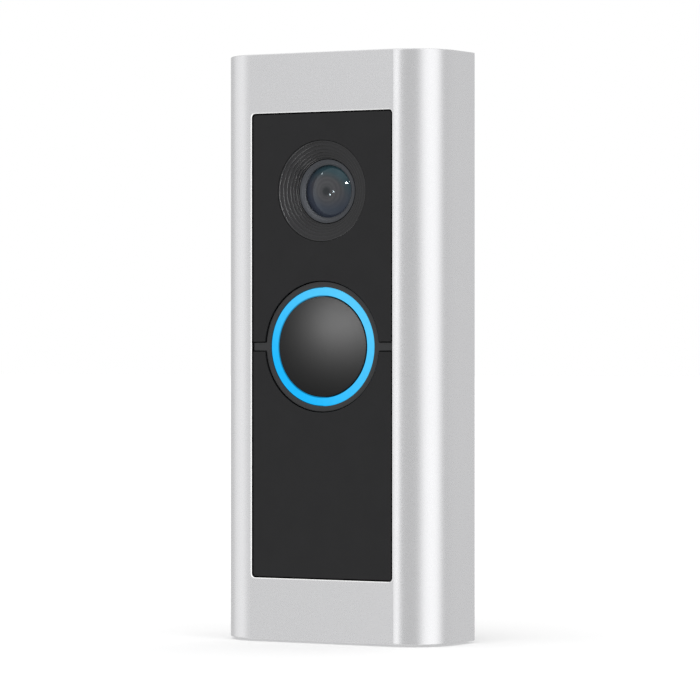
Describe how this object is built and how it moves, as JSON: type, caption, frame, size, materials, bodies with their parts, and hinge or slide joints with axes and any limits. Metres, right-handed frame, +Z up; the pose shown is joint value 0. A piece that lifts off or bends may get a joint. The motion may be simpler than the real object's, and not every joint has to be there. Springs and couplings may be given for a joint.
{
  "type": "video doorbell",
  "caption": "Slim wired video doorbell: satin metal pull-off faceplate, dark window panels, stepped camera surround and a domed push button in a lit blue ring.",
  "frame": {"origin": "centre of the flat rear face that lies on the wall", "axes": "+Z up, front faces -Y, +X to the right of a person who faces the doorbell"},
  "size_m": [0.049, 0.0212, 0.114],
  "materials": {
    "satin_nickel": "satin, fine bead-blasted nickel grain",
    "black_housing": "matt moulded black plastic",
    "bezel_grey": "satin dark grey plastic",
    "panel_black": "smooth dark window plastic",
    "surround_black": "satin dark grey plastic",
    "lens_metal": "black anodised",
    "lens_glass": "coated glass",
    "light_blue": "translucent light guide, lit blue",
    "button_black": "satin dark plastic dome",
    "white_plastic": "white reflector plastic",
    "led_yellow": "encapsulated chip",
    "board_green": "solder mask over glass cloth",
    "copper_flex": "amber polyimide film",
    "filter_red": "coated filter glass",
    "chip_black": "moulded chip package",
    "cream_plastic": "connector plastic",
    "steel": "zinc plated",
    "black_steel": "blackened",
    "tin_shield": "tin plated sheet",
    "spreader_aluminium": "rolled sheet",
    "thermal_blue": "soft thermal pad",
    "grey_silicone": "soft silicone",
    "speaker_black": "moulded basket",
    "cone_black": "soft diaphragm",
    "magnet_nickel": "nickel plated",
    "terminal_brass": "brass",
    "gold_can": "gold flashed can",
    "capacitor_film": "wrapped can",
    "ferrite": "shielded ferrite",
    "setup_orange": "orange plastic",
    "stem_cream": "switch plunger plastic",
    "ir_violet": "infrared-pass dome"
  },
  "bodies": {
    "main_unit": {"front_housing": "black_housing", "button_bezel": "bezel_grey", "upper_panel": "panel_black", "lower_panel": "panel_black", "camera_surround": "surround_black", "lens_retaining_ring": "lens_metal", "front_lens": "lens_glass", "second_lens": "lens_glass", "third_lens": "lens_glass", "lens_barrel": "lens_metal", "camera_holder": "chip_black", "ir_cut_filter": "filter_red", "image_sensor": "chip_black", "sensor_board": "board_green", "camera_flex": "copper_flex", "camera_connector": "cream_plastic", "camera_screws": "steel", "light_ring": "light_blue", "ring_reflector": "white_plastic", "ring_leds": "led_yellow", "led_board": "board_green", "led_board_screws": "steel", "button_seal": "grey_silicone", "button_switch": "chip_black", "infrared_leds": "ir_violet", "light_sensor": "cream_plastic", "microphones": "gold_can", "radar_board": "board_green", "radar_shield": "tin_shield", "speaker_frame": "speaker_black", "speaker_cone": "cone_black", "speaker_magnet": "magnet_nickel", "speaker_gasket": "grey_silicone", "main_board": "board_green", "main_board_screws": "steel", "processor": "chip_black", "processor_shield": "tin_shield", "thermal_pad": "thermal_blue", "heat_spreader": "spreader_aluminium", "wifi_module": "tin_shield", "wifi_antenna": "copper_flex", "power_inductor": "ferrite", "storage_capacitors": "capacitor_film", "board_connector": "cream_plastic", "rear_housing": "black_housing", "housing_seal": "grey_silicone", "housing_screws": "steel", "terminal_plates": "terminal_brass", "setup_switch": "chip_black"},
    "faceplate": {"faceplate": "satin_nickel"},
    "security_screw": {"security_screw": "black_steel"},
    "button": {"button_cap": "button_black", "button_clip": "steel", "button_switch_stem": "stem_cream"},
    "setup_button": {"setup_button": "setup_orange", "setup_switch_stem": "stem_cream"},
    "left_terminal_screw": {"terminal_screw_left": "terminal_brass"},
    "right_terminal_screw": {"terminal_screw_right": "terminal_brass"}
  },
  "joints": [
    {"name": "button_press", "type": "slide", "parent": "main_unit", "child": "button", "axis": [0, 1, 0], "range_m": [0, 0.0005], "stiffness_N_per_m": 2000},
    {"name": "setup_button_press", "type": "slide", "parent": "main_unit", "child": "setup_button", "axis": [-1, 0, 0], "range_m": [0, 0.0004], "stiffness_N_per_m": 2000},
    {"name": "faceplate_pull_off", "type": "slide", "parent": "main_unit", "child": "faceplate", "axis": [0, -1, 0], "range_m": [0, 0.03]},
    {"name": "security_screw_out", "type": "slide", "parent": "main_unit", "child": "security_screw", "axis": [0, 0, -1], "range_m": [0, 0.0035]},
    {"name": "left_terminal_screw_out", "type": "slide", "parent": "main_unit", "child": "left_terminal_screw", "axis": [0, 1, 0], "range_m": [0, 0.0018]},
    {"name": "right_terminal_screw_out", "type": "slide", "parent": "main_unit", "child": "right_terminal_screw", "axis": [0, 1, 0], "range_m": [0, 0.0018]}
  ]
}
